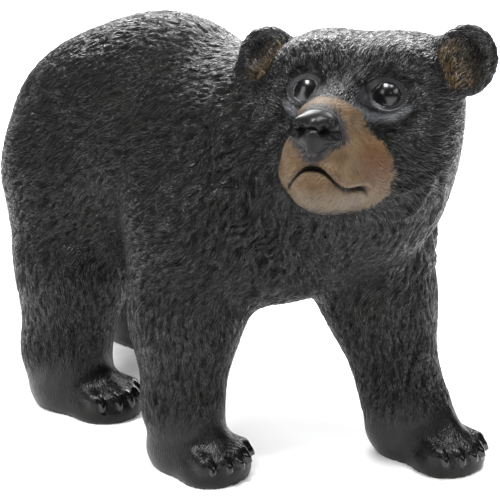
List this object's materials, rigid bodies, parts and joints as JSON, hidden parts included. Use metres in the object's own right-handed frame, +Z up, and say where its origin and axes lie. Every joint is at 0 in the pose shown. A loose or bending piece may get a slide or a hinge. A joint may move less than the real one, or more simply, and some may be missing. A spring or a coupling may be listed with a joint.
{
  "type": "bear sculpture",
  "caption": "Walking black bear garden sculpture of cast resin, head turned to its right and chin up, standing on four flat soles.",
  "frame": {"origin": "centre of the outline seen from above, on the plane of the four soles", "axes": "-Y is the way the bear walks, +X is its left side, +Z up; its head looks towards -X and -Y"},
  "size_m": [0.224, 0.4578, 0.346],
  "materials": {
    "painted_resin": "black-brown paint over cast fur, satin; tan muzzle, ochre ear tufts, glossy black nose, eyes and claws"
  },
  "bodies": {
    "root": {"bear": "painted_resin"}
  },
  "joints": []
}
